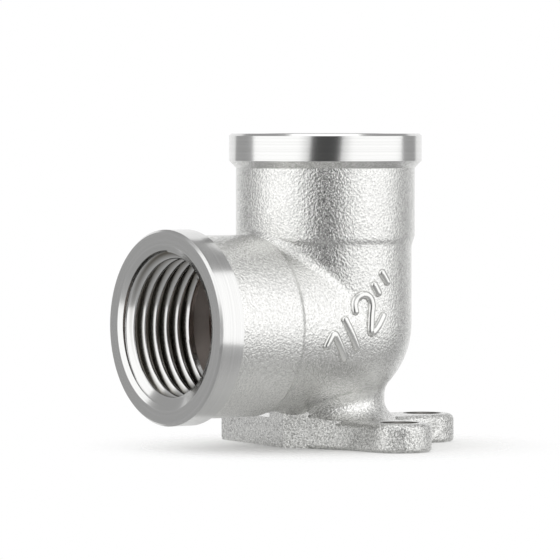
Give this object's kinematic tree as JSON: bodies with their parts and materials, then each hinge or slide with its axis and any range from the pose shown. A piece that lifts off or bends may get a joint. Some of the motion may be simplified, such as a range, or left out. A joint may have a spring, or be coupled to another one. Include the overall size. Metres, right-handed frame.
{
  "type": "wall plate elbow",
  "caption": "Forged pipe elbow with a screw-down wall flange, one threaded socket standing out from the wall and one running along it.",
  "frame": {"origin": "on the wall face, where the outlet socket's axis meets it", "axes": "+Z out of the wall along the outlet socket's axis, -X along the inlet socket's axis towards its mouth, Y along the wall across the inlet"},
  "size_m": [0.0483, 0.0396, 0.043],
  "materials": {
    "nickel_plated_brass": "nickel plated: shot-blasted forging with turned collars"
  },
  "bodies": {
    "root": {"elbow_body": "nickel_plated_brass"}
  },
  "joints": []
}
